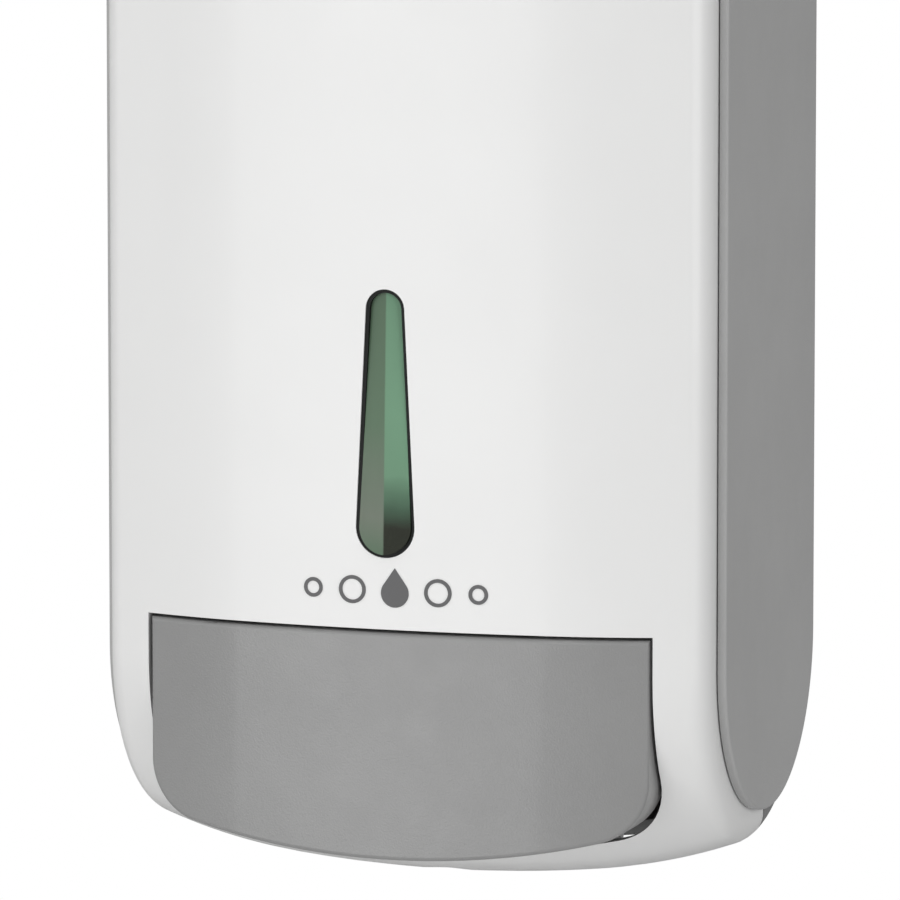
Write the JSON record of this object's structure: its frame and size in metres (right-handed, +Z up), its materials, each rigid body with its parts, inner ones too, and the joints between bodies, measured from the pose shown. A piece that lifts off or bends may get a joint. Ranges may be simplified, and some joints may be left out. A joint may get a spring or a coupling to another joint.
{
  "type": "wall mounted soap dispenser",
  "caption": "Wall mounted liquid soap dispenser with a white bowed cover, grey side cheeks, a tapered sight window and a wide grey push lever at the bottom.",
  "frame": {"origin": "on the wall face, in the middle of the four wall screw holes", "axes": "+X to the right as seen from the front, +Y into the wall, +Z up"},
  "size_m": [0.124, 0.08, 0.2413],
  "materials": {
    "white_abs": "satin gloss moulded ABS",
    "grey_abs": "fine textured matte ABS",
    "lever_abs": "satin matte ABS",
    "smoke_lens": "clear green-grey tinted lens, polished",
    "seal_rubber": "black rubber",
    "print_grey": "flat printed ink",
    "inner_abs": "plain moulded plastic",
    "tank_pp": "translucent natural polypropylene",
    "pump_pom": "smooth acetal",
    "silicone": "soft translucent silicone",
    "pin_steel": "drawn stainless steel",
    "screw_steel": "zinc plated steel",
    "plate_steel": "pressed stainless sheet",
    "lock_chrome": "polished chrome plated zinc"
  },
  "bodies": {
    "base": {"rear_housing": "grey_abs", "left_cheek": "grey_abs", "right_cheek": "grey_abs", "cheek_screws": "screw_steel", "pump_bracket": "inner_abs", "bracket_screws": "screw_steel", "latch_keeper": "plate_steel", "keeper_screws": "screw_steel", "cover_hinge_pins": "pin_steel", "reservoir_tank": "tank_pp", "lid_seal": "silicone", "tank_lid": "inner_abs", "neck_washer": "silicone", "pump_body": "pump_pom", "inlet_valve": "pump_pom", "collar_nut": "inner_abs", "pump_spring": "pin_steel"},
    "plunger": {"plunger": "pump_pom", "piston_seal": "seal_rubber", "nozzle": "silicone", "outlet_valve": "silicone"},
    "inlet_ball": {"inlet_ball": "pin_steel"},
    "cover": {"front_cover": "white_abs", "window_gasket": "seal_rubber", "window_lens": "smoke_lens", "window_retainer": "inner_abs", "soap_pictogram": "print_grey", "lock_housing": "inner_abs", "lock_nut": "pin_steel", "lever_pins": "pin_steel"},
    "lock": {"lock_barrel": "lock_chrome", "lock_cam": "plate_steel", "cam_screw": "screw_steel"},
    "lever": {"push_lever": "lever_abs", "pump_fork": "pump_pom", "fork_screws": "screw_steel"}
  },
  "joints": [
    {"name": "cover_hinge", "type": "hinge", "parent": "base", "child": "cover", "pos_m": [0, -0.03, -0.1155], "axis": [1, 0, 0], "range_deg": [0, 85]},
    {"name": "lever_hinge", "type": "hinge", "parent": "cover", "child": "lever", "pos_m": [0, -0.066, -0.074], "axis": [1, 0, 0], "range_deg": [0, 12], "stiffness_Nm_per_rad": 0.2, "springref_deg": -17.63},
    {"name": "plunger_slide", "type": "slide", "parent": "base", "child": "plunger", "axis": [0, 0, 1], "range_m": [0, 0.00544], "deforming": ["pump_spring"]},
    {"name": "inlet_ball_lift", "type": "slide", "parent": "base", "child": "inlet_ball", "axis": [0, 0, 1], "range_m": [0, 0.0012]},
    {"name": "lock_turn", "type": "hinge", "parent": "cover", "child": "lock", "pos_m": [0, -0.04, 0.105], "axis": [0, 0, 1], "range_deg": [0, 90]}
  ],
  "couplings": [
    {"joint": "lever_hinge", "follows": "plunger_slide", "rad_per_m": 38.46},
    {"joint": "inlet_ball_lift", "follows": "plunger_slide", "ratio": 0.2192}
  ]
}
